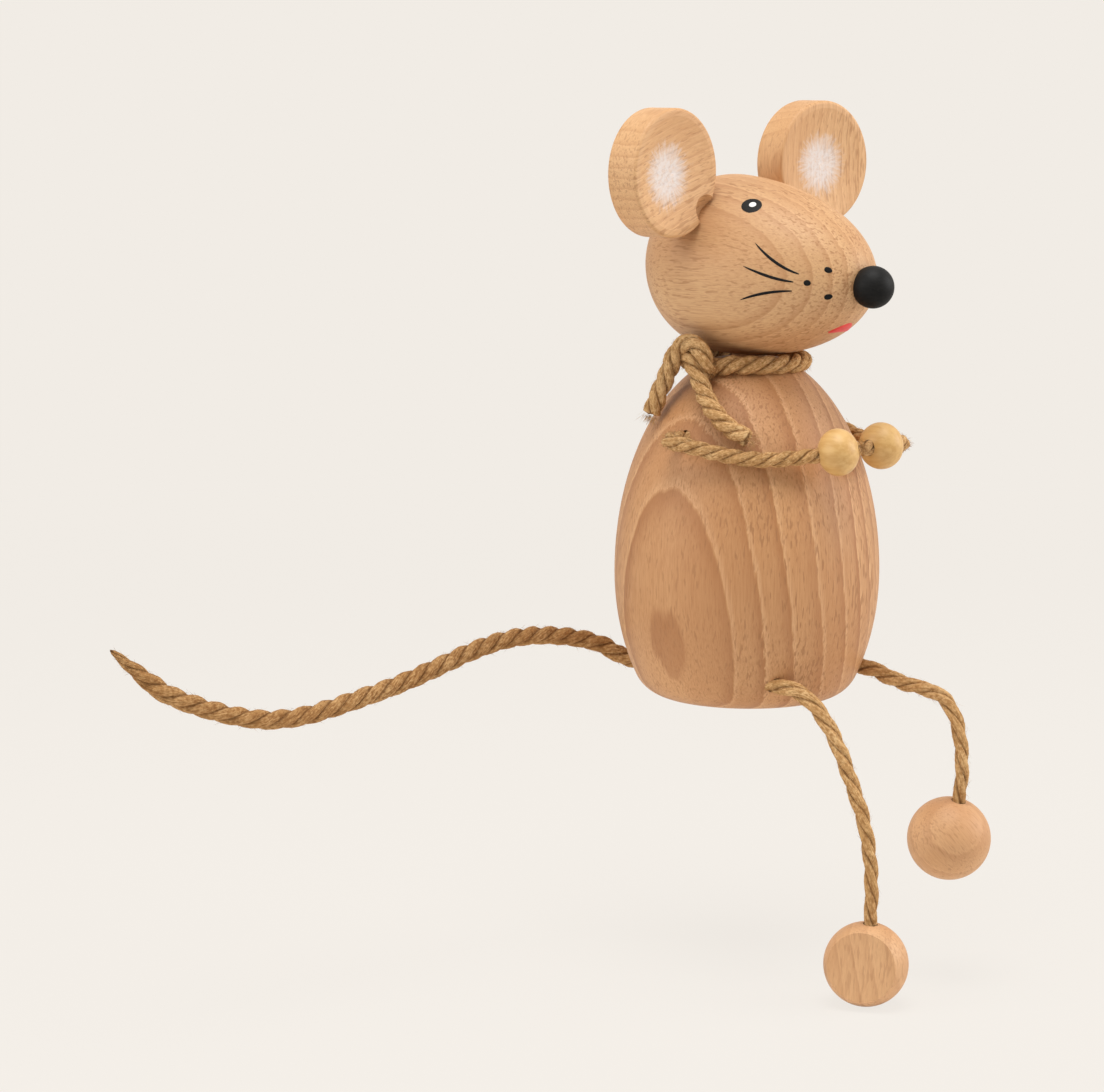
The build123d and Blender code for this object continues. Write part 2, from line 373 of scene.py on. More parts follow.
@dataclass(frozen=True)
class Beech:
    """Oiled beech, sawn so that its fibres run along the piece and its rings face one side.

    The piece is turned so that its fibres lie along Z and the ring faces look along X.
    """

    name: str
    centre: Step
    turn: Step = (0.0, 0.0, 0.0)
    pale: Colour = (0.615, 0.337, 0.155)
    warm: Colour = (0.510, 0.256, 0.109)
    ring: Colour = (0.355, 0.146, 0.052)
    glow: Colour = (0.76, 0.46, 0.245)
    fleck: Colour = (0.33, 0.150, 0.060)
    spacing: float = 5.8
    first: float = -30.40
    uneven: float = 2.0
    pith: float = 400.0
    lean: float = 0.225
    bow: float = 0.0037
    wander: float = 1.2
    ripple: float = 0.7
    flame: float = 1.3
    ring_strength: float = 0.92
    glow_strength: float = 0.42
    fleck_strength: float = 0.66
    fibre_strength: float = 0.42

    def local(self, shader: Shader) -> Sock:
        """Coordinates in the blank: Z along the fibres, X across the rings, in millimetres."""
        moved = shader.vector("SUBTRACT", shader.object_mm(), self.centre)
        angles = tuple(math.radians(angle) for angle in self.turn)
        return shader.node("ShaderNodeVectorRotate", {"rotation_type": "EULER_XYZ"},
                           {"Vector": moved, "Rotation": angles})

    def grain(self, shader: Shader) -> tuple[Sock, Sock, Sock]:
        """The wood's pattern.

        Args:
            shader: The material in the making.

        Returns:
            Its colour, its roughness and its height.
        """
        place = self.local(shader)
        flat = shader.vector("ADD", shader.vector("MULTIPLY", place, (1, 1, 0)), (self.pith, 0, 0))
        reach = shader.length(flat)
        height = shader.part(place, "Z")
        wander = shader.noise(place, (0.05, 0.05, 0.014), 2.0) - 0.5
        ripple = shader.noise(place, (0.30, 0.30, 0.04), 2.0) - 0.5
        flame = shader.noise(place, (1.5, 1.5, 0.15), 2.0) - 0.5
        sheet = reach - (self.pith + self.first) + self.lean * height - self.bow * (height * height)
        waved = sheet + self.wander * wander + self.ripple * ripple
        depth = waved + self.flame * flame * shader.span(sheet, 3.0, 9.0)
        uneven = shader.node("ShaderNodeMath", {"operation": "SINE"}, {0: depth * 0.131})
        year = ((depth + self.uneven * uneven) * (1 / self.spacing)) % 1.0
        late = (0.35 * year + 0.65 * shader.span(year, 0.45, 0.98) ** 1.5) * shader.span(year, 1.0, 0.94)
        strength = shader.span(shader.noise(place, (0.06, 0.06, 0.015), 1.0), 0.25, 0.7)
        band = late * (0.5 + 0.5 * strength) * self.ring_strength * shader.span(sheet, -2.6, -1.0)
        cloud = shader.span(shader.noise(place, (0.045, 0.045, 0.014), 3.0), 0.3, 0.7)
        fibre = shader.noise(place, (3.2, 3.2, 0.12), 3.0, 0.65)
        dash = shader.noise(place, (1.8, 1.8, 0.30), 1.0, 0.4)
        crowd = shader.noise(place, (0.10, 0.10, 0.05), 1.0)
        crowded = 0.72 + 0.28 * shader.span(sheet, 2.0, 10.0)
        fleck = shader.span(dash + 0.30 * (crowd - 0.5), 0.565, 0.70) * self.fleck_strength * crowded
        fresh = shader.span(year, 0.20, 0.0) * shader.span(sheet, 2.0, 6.0)
        early = fresh * self.ring_strength * self.glow_strength
        colour = shader.mix(cloud, self.warm, self.pale)
        colour = shader.mix(early, colour, self.glow)
        colour = shader.mix(band, colour, self.ring)
        colour = shader.mix(shader.span(fibre, 0.37, 0.70) * self.fibre_strength, colour, self.ring)
        colour = shader.mix(fleck, colour, self.fleck)
        rough = 0.46 + 0.12 * fibre + 0.15 * fleck
        raised = 0.6 * fibre - 0.7 * fleck - 0.15 * band
        return colour, rough, raised

    def build(self) -> Material:
        """The finished material."""
        shader = Shader(self.name)
        colour, rough, height = self.grain(shader)
        return shader.finish(colour, rough, height, 0.05 * MM, Specular_IOR_Level=0.35)


@dataclass(frozen=True)
class BrushedBeech(Beech):
    """Beech with white dry-brushed over the middle of one face, as inside an ear."""

    dab_centre: Step = (0.0, 0.0, 0.0)
    dab_radius: float = 9.8
    face_depth: float = 2.0
    paint: Colour = (0.73, 0.69, 0.68)

    def build(self) -> Material:
        """The finished material, wood and paint."""
        shader = Shader(self.name)
        colour, rough, height = self.grain(shader)
        place = shader.vector("SUBTRACT", shader.object_mm(), self.dab_centre)
        across = shader.part(place, "X")
        up = shader.part(place, "Z")
        reach = shader.length(shader.vector("MULTIPLY", place, (1, 0, 1)))
        bearing = shader.node("ShaderNodeMath", {"operation": "ARCTAN2"}, {0: up, 1: across})
        polar = shader.node("ShaderNodeCombineXYZ", None, {"X": bearing, "Y": reach})
        hairs = shader.noise(polar, (9.0, 0.35, 1.0), 3.0, 0.65)
        gaps = shader.noise(place, (1.1, 1.1, 1.1), 3.0, 0.7)
        edge = reach * (1 / self.dab_radius) + 0.9 * (hairs - 0.5) + 0.5 * (gaps - 0.5)
        front = shader.span(shader.part(place, "Y"), -self.face_depth + 0.3, -self.face_depth)
        cover = shader.span(edge, 1.05, 0.40) * (0.50 + 0.34 * shader.span(gaps, 0.30, 0.60)) * front
        colour = shader.mix(cover, colour, self.paint)
        return shader.finish(colour, rough + 0.25 * cover, height + 0.9 * cover * hairs, 0.06 * MM,
                             Specular_IOR_Level=0.3)


@dataclass(frozen=True)
class Bead:
    """A smooth pale turned bead."""

    name: str
    pale: Colour = (0.645, 0.400, 0.152)
    deep: Colour = (0.555, 0.312, 0.101)

    def build(self) -> Material:
        """The finished material."""
        shader = Shader(self.name)
        place = shader.object_mm()
        streak = shader.noise(place, (0.9, 0.12, 0.9), 3.0, 0.55)
        cloud = shader.noise(place, (0.2, 0.2, 0.2), 2.0)
        colour = shader.mix(shader.span(streak * 0.7 + cloud * 0.3, 0.35, 0.65), self.deep, self.pale)
        return shader.finish(colour, 0.38 + 0.12 * streak, streak, 0.02 * MM, Specular_IOR_Level=0.4)


@dataclass(frozen=True)
class Paint:
    """A coat of brushed paint."""

    name: str
    colour: Colour
    shade: Colour
    gloss: float = 0.42
    shine: float = 0.4

    def build(self) -> Material:
        """The finished material."""
        shader = Shader(self.name)
        place = shader.object_mm()
        brush = shader.noise(place, (0.8, 0.8, 2.2), 3.0, 0.6)
        speck = shader.noise(place, (5.0, 5.0, 5.0), 2.0)
        colour = shader.mix(shader.span(brush, 0.3, 0.7), self.shade, self.colour)
        return shader.finish(colour, self.gloss + 0.18 * (speck - 0.5) + 0.1 * brush, brush + 0.3 * speck,
                             0.03 * MM, Specular_IOR_Level=self.shine)


@dataclass(frozen=True)
class Jute:
    """Twisted jute, with its fibres along the strands and painted shade darkening the hollows between them."""

    name: str
    pale: Colour = (0.595, 0.363, 0.163)
    gold: Colour = (0.440, 0.230, 0.085)
    dark: Colour = (0.240, 0.107, 0.034)
    # The colour painted as shade in the hollows between strands, and how strongly it is laid on.
    hollow_shade: Colour = (0.120, 0.050, 0.014)
    fibre_slant: float = 0.6
    hollow_shade_strength: float = 0.80

    def build(self) -> Material:
        """The finished material."""
        shader = Shader(self.name)
        chart = shader.node("ShaderNodeUVMap", {"uv_map": "strand"})
        along = shader.part(chart, "X")
        slant = shader.part(chart, "Y") - self.fibre_slant * along
        fibre_chart = shader.node("ShaderNodeCombineXYZ", None, {"X": along, "Y": slant})
        fibre = shader.noise(fibre_chart, (11.0, 26.0, 1.0), 3.0, 0.7)
        coarse = shader.noise(fibre_chart, (5.0, 9.0, 1.0), 2.0, 0.5)
        place = shader.object_mm()
        mottle = shader.noise(place, (1.2, 1.2, 1.2), 2.0, 0.6)
        blotch = shader.noise(place, (0.11, 0.11, 0.11), 2.0)
        golden = shader.span(fibre * 0.4 + coarse * 0.3 + mottle * 0.3, 0.37, 0.60)
        bleached = shader.span(fibre * 0.5 + mottle * 0.25 + blotch * 0.25, 0.47, 0.64)
        colour = shader.mix(bleached, shader.mix(golden, self.dark, self.gold), self.pale)
        # Painted shade: each point's depth between strands darkens the colour towards the hollow shade colour.
        depth = shader.node("ShaderNodeAttribute", {"attribute_name": "crevice"}, None, "Fac")
        shade = shader.span(depth + 0.5 * (coarse - 0.5), 0.28, 0.66) * self.hollow_shade_strength
        colour = shader.mix(shade, colour, self.hollow_shade)
        return shader.finish(colour, 0.82 + 0.15 * coarse, fibre + 0.6 * coarse + 0.5 * mottle, 0.22 * MM,
                             Specular_IOR_Level=0.15)


@dataclass(frozen=True)
class Strip:
    """One of many small grids: the rule of its points and its spot on the chart."""

    rule: Rule
    spot: Pair


class Wrap:
    """Lays flat grids of faces over shapes that are given by a rule of two shares."""

    STRIP_ON_CHART = 0.02

    def __init__(self, name: str) -> None:
        """Starts an empty mesh with a chart and a depth for its faces, which the jute paints as shade between strands.

        Args:
            name: The piece's name.
        """
        self.name = name
        self.bm = bmesh.new()
        self.chart = self.bm.loops.layers.uv.new("strand")
        # Each point's depth between strands, which the jute material paints as shade.
        self.depth = self.bm.verts.layers.float.new("crevice")

    def lay(self, along: int, across: int, rule: Rule,
            chart: Callable[[float, float], Pair] | None = None,
            depth: Callable[[float, float], float] | None = None) -> None:
        """Lays one grid.

        Args:
            along: Faces along it.
            across: Faces across it.
            rule: The place of the point at a share along and a share across.
            chart: Its place on the chart, or the two shares where it isn't given.
            depth: How deep it lies between strands, which sets the painted shade there, or 0.
        """
        made = bmesh.ops.create_grid(self.bm, x_segments=along, y_segments=across, size=1.0)["verts"]
        shares = {vert: ((vert.co.x + 1) / 2, (vert.co.y + 1) / 2) for vert in made}
        for face in {face for vert in made for face in vert.link_faces}:
            face.smooth = True
            for loop in face.loops:
                share = shares[loop.vert]
                loop[self.chart].uv = chart(*share) if chart else share
        for vert, share in shares.items():
            vert.co = rule(*share)
            vert[self.depth] = depth(*share) if depth else 0.0

    def lay_strips(self, along: int, across: int, strips: Sequence[Strip]) -> None:
        """Lays many small grids as one long grid, cut apart between them.

        Args:
            along: Faces along each of them.
            across: Faces across each of them.
            strips: The small grids.
        """
        rows = across + 1
        last = rows * len(strips) - 1
        made = bmesh.ops.create_grid(self.bm, x_segments=along, y_segments=last, size=1.0)["verts"]
        places = {vert: (*divmod(round((vert.co.y + 1) / 2 * last), rows), (vert.co.x + 1) / 2)
                  for vert in made}
        between = []
        for face in {face for vert in made for face in vert.link_faces}:
            owners = {places[vert][0] for vert in face.verts}
            if len(owners) > 1:
                between.append(face)
            face.smooth = True
            spot = strips[min(owners)].spot
            for loop in face.loops:
                loop[self.chart].uv = (spot[0] + self.STRIP_ON_CHART * places[loop.vert][2], spot[1])
        bmesh.ops.delete(self.bm, geom=between, context="FACES")
        for vert, (strip, row, share) in places.items():
            vert.co = strips[strip].rule(share, row / across)

    def piece(self, finish: Material, merge: float, core: Vector | None = None) -> bpy.types.Object:
        """Closes the seams and makes the piece.

        Args:
            finish: Its material.
            merge: How near points must lie to become one.
            core: What an open skin's faces look away from.

        Returns:
            The new object.
        """
        bmesh.ops.remove_doubles(self.bm, verts=self.bm.verts, dist=merge)
        bmesh.ops.dissolve_degenerate(self.bm, edges=self.bm.edges, dist=merge / 10)
        bmesh.ops.recalc_face_normals(self.bm, faces=self.bm.faces)
        if core:
            inward = [face for face in self.bm.faces
                      if face.normal.dot(face.calc_center_median() - core) < 0]
            bmesh.ops.reverse_faces(self.bm, faces=inward)
        mesh = bpy.data.meshes.new(self.name)
        self.bm.to_mesh(mesh)
        self.bm.free()
        mesh.materials.append(finish)
        made = bpy.data.objects.new(self.name, mesh)
        bpy.context.scene.collection.objects.link(made)
        return made


@dataclass
class Ring:
    """One cross-section of a rope's line."""

    point: Vector
    ahead: Vector
    side: Vector
    rise: Vector
    run: float


@dataclass
class Rope:
    """A three-strand jute cord laid along a route of given points.

    Its thickness goes from one swell to the other, and its end may thin to a tip over a taper. No loose fibre
    reaches into a 45 degree cone that opens upwards from the ceiling, a height on the frame's axis.
    """

    name: str
    route: list[Vector]
    diameter: float
    seed: int
    lay: float = 21 * MM
    taper: float = 0.0
    tip: float = 0.14
    swell: Pair = (1.0, 1.0)
    frayed_start: bool = False
    frayed_end: bool = False
    strands: int = 3
    sides: int = 14
    fuzz_per_mm: float = 9.0
    fuzz_thick: float = 0.045 * MM
    short_share: float = 0.65
    ceiling: float | None = None
    line_steps: int = 18
    strand_out: float = 0.42
    strand_size: float = 0.61
    strand_sway: float = 0.16
    lumps: float = 0.05
    lump_run: float = 5 * MM
    grit: float = 0.06
    grit_run: float = 0.9 * MM
    fray_count: int = 80
    fuzz_root: float = 0.86
    fibre_bend: float = 0.55
    fibre_faces: tuple[int, int] = (2, 3)
    merge: float = 0.002 * MM
    rings: list[Ring] = field(default_factory=list)

    def line(self) -> list[Vector]:
        """Points along the route's own NURBS spline."""
        curve = bpy.data.curves.new(f"{self.name}_line", "CURVE")
        curve.dimensions = "3D"
        curve.resolution_u = self.line_steps
        spline = curve.splines.new("NURBS")
        spline.points.add(len(self.route) - 1)
        for target, point in zip(spline.points, self.route):
            target.co = (*point, 1.0)
        spline.order_u = 3
        spline.use_endpoint_u = True
        holder = bpy.data.objects.new(f"{self.name}_line", curve)
        mesh = bpy.data.meshes.new_from_object(holder)
        points = [vert.co.copy() for vert in mesh.vertices]
        bpy.data.objects.remove(holder)
        bpy.data.curves.remove(curve)
        bpy.data.meshes.remove(mesh)
        return points

    def measure(self) -> None:
        """Sets a cross-section at each point of the line, turned as little as the line allows."""
        points = self.line()
        last = len(points) - 1
        run = 0.0
        side = (points[1] - points[0]).orthogonal().normalized()
        for index, point in enumerate(points):
            ahead = (points[min(index + 1, last)] - points[max(index - 1, 0)]).normalized()
            side = (side - ahead * side.dot(ahead)).normalized()
            run += (point - points[max(index - 1, 0)]).length
            self.rings.append(Ring(point, ahead, side, ahead.cross(side), run))

    @property
    def length(self) -> float:
        """The rope's length along its line."""
        return self.rings[-1].run

    def thickness(self, run: float) -> float:
        """The share of the full thickness at a run along the rope."""
        left = self.length - run
        full = self.swell[0] + (self.swell[1] - self.swell[0]) * run / self.length
        if self.taper and left < self.taper:
            return full * (self.tip + (1 - self.tip) * (left / self.taper) ** 0.7)
        return full

    def turn(self, run: float, strand: int) -> float:
        """The bearing of a strand round the line, for a left-handed lay."""
        return 2 * math.pi * (strand / self.strands - run / self.lay)

    def strand_rule(self, strand: int) -> Rule:
        """The skin of one strand.

        Args:
            strand: Which one.

        Returns:
            The rule of its points: shares along the rope and round the strand.
        """
        radius = self.diameter / 2
        last = len(self.rings) - 1

        def rule(along: float, across: float) -> Vector:
            """A point on the strand's skin."""
            index = round(along * last)
            ring = self.rings[index]
            uneven = noise.noise(Vector((ring.run / self.lump_run, strand * 7.0, self.seed)))
            closing = 0.0 if index in (0, last) else 1.0
            size = self.thickness(ring.run) * radius
            turn = self.turn(ring.run, strand) + self.strand_sway * uneven
            off = ring.side * math.cos(turn) + ring.rise * math.sin(turn)
            place = ring.point + off * size * self.strand_out
            angle = turn + 2 * math.pi * (across - 0.5)
            out = ring.side * math.cos(angle) + ring.rise * math.sin(angle)
            spot = Vector((1.6 * math.cos(2 * math.pi * across), 1.6 * math.sin(2 * math.pi * across), 0))
            grit = noise.noise(spot + Vector((strand * 5.0, self.seed, ring.run / self.grit_run)))
            return place + out * size * (self.strand_size + self.lumps * uneven + self.grit * grit) * closing

        return rule

    def fibre_rule(self, root: Vector, way: Vector, lift: Vector, reach: float) -> Rule:
        """One loose fibre, which leaves the rope and bends away.

        Args:
            root: Where it leaves the rope.
            way: The way it starts out.
            lift: The way it bends.
            reach: Its length.

        Returns:
            The rule of its points: shares along the fibre and round it.
        """
        side = way.cross(lift).normalized()

        def rule(along: float, across: float) -> Vector:
            """A point on the fibre's skin."""
            centre = root + way * reach * along + lift * reach * self.fibre_bend * along ** 2
            angle = 2 * math.pi * across
            out = lift * math.cos(angle) + side * math.sin(angle)
            return centre + out * self.fuzz_thick * 4 * along * (1 - along)

        return rule

    def add_fuzz(self, wrap: Wrap) -> None:
        """Adds the loose fibres along the rope and at its frayed ends.

        Args:
            wrap: The mesh in the making.
        """
        dice = random.Random(self.seed)
        last = len(self.rings) - 1
        roots = [(self.rings[dice.randrange(2, last - 1)], 0.0)
                 for _ in range(int(self.length / MM * self.fuzz_per_mm))]
        for frayed, index, sign in ((self.frayed_start, 0, -1.0), (self.frayed_end, last, 1.0)):
            roots += [(self.rings[index], sign)] * (self.fray_count if frayed else 0)
        strips = []
        for ring, sign in roots:
            bearing = dice.uniform(0, 2 * math.pi)
            size = self.thickness(ring.run) * self.diameter / 2
            lift = ring.side * math.cos(bearing) + ring.rise * math.sin(bearing)
            root = ring.point + lift * size * (dice.uniform(0.1, 0.95) if sign else self.fuzz_root)
            sweep = sign if sign else dice.choice((-1.0, 1.0))
            short = dice.random() < self.short_share and not sign
            way = (ring.ahead * sweep + lift.cross(ring.ahead) * dice.uniform(-0.5, 0.5)
                   + lift * dice.uniform(0.0, 0.9 if short else 0.4)).normalized()
            reach = (dice.uniform(0.5, 1.4) if short else dice.uniform(0.9, 3.1)) * MM
            bend = lift * dice.uniform(0.05, 0.5)
            tip = root + way * reach + bend * reach * self.fibre_bend
            if self.ceiling is not None and tip.z - tip.xy.length > self.ceiling:
                continue
            strips.append(Strip(self.fibre_rule(root, way, bend, reach),
                                (dice.uniform(0, 9), dice.uniform(0, 1))))
        wrap.lay_strips(*self.fibre_faces, strips)

    def build(self, finish: Material) -> bpy.types.Object:
        """Makes the rope.

        Args:
            finish: Its material.

        Returns:
            The rope's object.
        """
        self.measure()
        wrap = Wrap(self.name)
        last = len(self.rings) - 1
        for strand in range(self.strands):
            # The last rule gives each point its depth, highest where the strand's skin faces the rope's axis; the jute
            # paints it as shade.
            wrap.lay(last, self.sides, self.strand_rule(strand),
                     lambda along, across: (self.rings[round(along * last)].run / self.lay, across),
                     lambda along, across: 0.5 + 0.5 * math.cos(2 * math.pi * across))
        self.add_fuzz(wrap)
        made = wrap.piece(finish, self.merge)
        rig.slot(made, "jute")
        log.info("%s: rope %.1f mm long, %d faces", self.name, self.length / MM, len(made.data.polygons))
        return made

    def path(self) -> list[Vector]:
        """The points that the rope follows."""
        return [ring.point for ring in self.rings]


def joint_point(name: str) -> Vector:
    """The place of a joint of the frame."""
    return Vector(next(joint for joint in frame["joints"] if joint["name"] == name)["pos_m"])


def stepped(start: Vector, steps: Sequence[Step]) -> list[Vector]:
    """Points at steps in millimetres from a start."""
    return [start + Vector(step) * MM for step in steps]


def middle(node: str) -> Vector:
    """The middle of a node's box."""
    low, high = (Vector(corner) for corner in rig.box(node))
    return (low + high) / 2


def dress(node: str, finish: Material) -> None:
    """Gives a CAD node its material."""
    piece = frame["nodes"][node]
    piece.data.materials.clear()
    piece.data.materials.append(finish)
    log.info("%s: %s", node, finish.name)


def mm_of(point: Vector) -> Step:
    """A point in millimetres."""
    return tuple(point / MM)


@dataclass
class Trunk:
    """The turned body."""

    bullseye: Step = (0.0, 0.0, 17.5)
    dowel_centre: Step = (40.0, 0.0, 0.0)

    def build(self) -> None:
        """Dresses the body and its hidden dowel."""
        dress("body", Beech("beech_body", self.bullseye).build())
        dress("neck_dowel", Beech("dowel_neck", self.dowel_centre).build())


@dataclass
class Face:
    """The painted marks on the head, each placed along the head's axis and round it from the side.

    A mark's place is millimetres ahead of the head's ball and degrees up from straight sideways.
    """

    ball: Vector
    nod: float
    radius: float = 21.5
    front: float = 39.5
    coat: float = 0.10
    sink: float = 0.03
    merge: float = 0.004 * MM
    eye: Pair = (13.2, 52.8)
    eye_size: Pair = (2.72, 2.60)
    glint: Pair = (13.3, 53.6)
    glint_size: Pair = (0.84, 0.84)
    dots: tuple[Pair, ...] = ((31.7, 1.5), (34.9, 21.1), (35.4, -15.9))
    dot_size: Pair = (0.76, 0.76)
    dab_faces: tuple[int, int] = (6, 28)
    whiskers: tuple[tuple[Pair, ...], ...] = (
        ((18.8, 25.7), (23.2, 16.7), (26.7, 11.2), (29.9, 9.2)),
        ((17.4, 8.0), (22.5, 3.9), (25.8, 1.5), (29.0, 1.2)),
        ((17.0, -16.1), (21.2, -10.9), (25.0, -7.8), (28.8, -7.2)),
    )
    whisker_width: float = 0.78
    whisker_slim: Pair = (0.12, 0.35)
    mouth: tuple[Pair, ...] = ((32.3, -72.0), (35.0, -83.0), (35.0, -97.0), (32.3, -108.0))
    mouth_width: float = 3.0
    mouth_slim: Pair = (0.2, 0.2)
    stroke_faces: tuple[int, int] = (18, 6)

    def on_head(self, ahead: float, bearing: float, height: float, side: Side) -> Vector:
        """A point over the head's surface.

        Args:
            ahead: Millimetres along the head's axis from its ball's middle.
            bearing: Degrees round the axis, up from sideways.
            height: Millimetres over the surface.
            side: The side that sideways points to.

        Returns:
            The point, in metres.
        """
        width = self.width_at(ahead) + height
        angle = math.radians(bearing)
        forward = Vector((0, -math.cos(self.nod), -math.sin(self.nod)))
        up = Vector((0, -math.sin(self.nod), math.cos(self.nod)))
        out = Vector((side.value, 0, 0)) * math.cos(angle) + up * math.sin(angle)
        slope = height * ahead / self.front
        return self.ball + (forward * (ahead + slope) + out * width) * MM

    def width_at(self, ahead: float) -> float:
        """The head's radius at a place along its axis."""
        return self.radius * math.sqrt(1 - (ahead / self.front) ** 2)

    def dab(self, wrap: Wrap, place: Pair, size: Pair, side: Side, base: float = 0.0) -> None:
        """A round dab of paint, with a low dome.

        Args:
            wrap: The mesh in the making.
            place: Its place on the head.
            size: Its half sizes along and round the head.
            side: The side of the head.
            base: How far it lies over the wood.
        """
        degrees_per_mm = 180 / (math.pi * self.width_at(place[0]))

        def rule(along: float, across: float) -> Vector:
            """A point on the dab: a share out from its middle and a share round it."""
            angle = 2 * math.pi * across
            height = base + self.coat * (1 - along ** 4) - self.sink
            return self.on_head(place[0] + size[0] * along * math.cos(angle),
                                place[1] + size[1] * along * math.sin(angle) * degrees_per_mm, height, side)

        wrap.lay(*self.dab_faces, rule)

    def stroke(self, wrap: Wrap, points: Sequence[Pair], width: float, side: Side, slim: Pair) -> None:
        """A brush stroke along points of the head.

        Args:
            wrap: The mesh in the making.
            points: Four points that shape it.
            width: Its full width.
            side: The side of the head.
            slim: How much of that width is left at its start and end.
        """
        count, rows = self.stroke_faces
        line = geometry.interpolate_bezier(*(Vector((*point, 0.0)) for point in points), count + 1)

        def rule(along: float, across: float) -> Vector:
            """A point on the stroke."""
            index = round(along * count)
            here = line[index]
            step = line[min(index + 1, count)] - line[max(index - 1, 0)]
            mm_per_degree = math.radians(self.width_at(here.x))
            way = Vector((step.x, step.y * mm_per_degree)).normalized()
            swell = math.sin(math.pi * min(1.0, max(0.0, along))) ** 0.6
            ends = slim[0] * (1 - along) + slim[1] * along
            half = width / 2 * (ends + (1 - ends) * swell) * (2 * across - 1)
            height = self.coat * (1 - (2 * across - 1) ** 4) - self.sink
            return self.on_head(here.x - way.y * half, here.y + way.x * half / mm_per_degree, height, side)

        wrap.lay(count, rows, rule)

    def build(self, black: Material, white: Material,
              red: Material) -> None:
        """Paints the eyes, whiskers, dots and mouth.

        Args:
            black: The black paint.
            white: The white paint.
            red: The red paint.
        """
        dark, glints, lips = Wrap("face_black_paint"), Wrap("face_white_paint"), Wrap("face_red_paint")
        for side in Side:
            self.dab(dark, self.eye, self.eye_size, side)
            self.dab(glints, self.glint, self.glint_size, side, self.coat)
            for dot in self.dots:
                self.dab(dark, dot, self.dot_size, side)
            for whisker in self.whiskers:
                self.stroke(dark, whisker, self.whisker_width, side, self.whisker_slim)
        self.stroke(lips, self.mouth, self.mouth_width, Side.RIGHT, self.mouth_slim)
        for wrap, paint in ((dark, black), (glints, white), (lips, red)):
            made = wrap.piece(paint, self.merge, self.ball)
            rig.ride(made, "head")
            log.info("%s: %d faces", made.name, len(made.data.polygons))


@dataclass
class Ear:
    """A dished ear with white paint brushed inside it."""

    side: Side
    fibre_turn: Step
    dab_shift: Step
    dab_radius: float

    def build(self) -> None:
        """Dresses the ear and its hidden dowel."""
        word = self.side.word
        centre = mm_of(middle(f"{word}_ear"))
        wood = BrushedBeech(f"beech_ear_{word}", centre, self.fibre_turn, pale=(0.69, 0.420, 0.212),
                            warm=(0.59, 0.325, 0.150), ring=(0.46, 0.225, 0.092), spacing=2.4, first=-15.0,
                            uneven=0.6, lean=0.0, bow=0.0, ring_strength=0.5, fleck_strength=0.45,
                            dab_centre=tuple(a + b for a, b in zip(centre, self.dab_shift)),
                            dab_radius=self.dab_radius)
        dress(f"{word}_ear", wood.build())
        dress(f"{word}_ear_dowel", Beech(f"dowel_ear_{word}", centre).build())


@dataclass
class Head:
    """The turned head with its ears, nose and painted face."""

    setback: float = 4.5
    ball_height: float = 104.9
    nod: float = 5.2

    def build(self, black: Material) -> None:
        """Dresses the head's wood and paints its face.

        Args:
            black: The black paint of the nose and the marks.
        """
        ball = Vector((0, self.setback, self.ball_height)) * MM
        wood = Beech("beech_head", mm_of(ball), (90.0, 0.0, 0.0), pale=(0.625, 0.378, 0.187),
                     warm=(0.530, 0.286, 0.133), ring=(0.40, 0.186, 0.074), spacing=3.4, first=-15.2,
                     uneven=0.0, lean=0.0, bow=0.0, ring_strength=0.62, fleck_strength=0.70)
        dress("head", wood.build())
        dress("nose", black)
        Ear(Side.LEFT, (0.0, 0.0, 0.0), (-1.0, 0.0, -0.4), 8.2).build()
        Ear(Side.RIGHT, (0.0, -71.4, 0.0), (-2.35, 0.0, -0.5), 8.6).build()
        white = Paint("white_paint", (0.90, 0.90, 0.88), (0.80, 0.80, 0.78)).build()
        red = Paint("red_paint", (0.72, 0.035, 0.028), (0.58, 0.022, 0.020), gloss=0.4).build()
        Face(ball, math.radians(self.nod)).build(black, white, red)


@dataclass
class Leg:
    """A cord leg with a ball foot."""

    side: Side
    steps: tuple[Step, ...]
    hang: Step
    fibre_turn: Step
    diameter: float = 3.5
    root: float = 13.0
    exit: float = 5.6
    hole: float = 8.0
    flex_before: float = 3.0
    flex_after: float = 6.5
    lay: float = 20.0
    swell: Pair = (1.16, 0.90)
    seed: int = 11

    def build(self, jute: Material) -> None:
        """Lays the cord from the body to the foot and dresses the foot.

        Args:
            jute: The cord's material.
        """
        word = self.side.word
        hip = joint_point(f"{word}_leg_swing")
        free = stepped(hip, self.steps)
        end = free[-1] + Vector(self.hang).normalized() * self.hole * MM
        inside = hip + Vector((0, self.root, 0)) * MM
        before = hip + Vector((0, self.exit, 0)) * MM
        rope = Rope(f"{word}_leg_cord", [inside, before, hip, *free, end], self.diameter * MM,
                    self.seed + self.side.value, lay=self.lay * MM, swell=self.swell)
        cord = rope.build(jute)
        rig.blend(cord, "trunk", f"{word}_leg", hip + Vector((0, self.flex_before, 0)) * MM,
                 hip - Vector((0, self.flex_after, 0)) * MM)
        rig.replaces(cord, f"{word}_leg_root", f"{word}_leg")
        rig.cord(cord, before, rope.length, rope.diameter, "object", "limp", "hanging", rope.path())
        wood = Beech(f"beech_foot_{word}", mm_of(middle(f"{word}_foot")), self.fibre_turn,
                     pale=(0.655, 0.383, 0.192), warm=(0.552, 0.294, 0.138), spacing=4.6, first=-9.0,
                     pith=60.0, bow=0.0, ring_strength=0.26, fleck_strength=0.34, fibre_strength=0.24)
        dress(f"{word}_foot", wood.build())


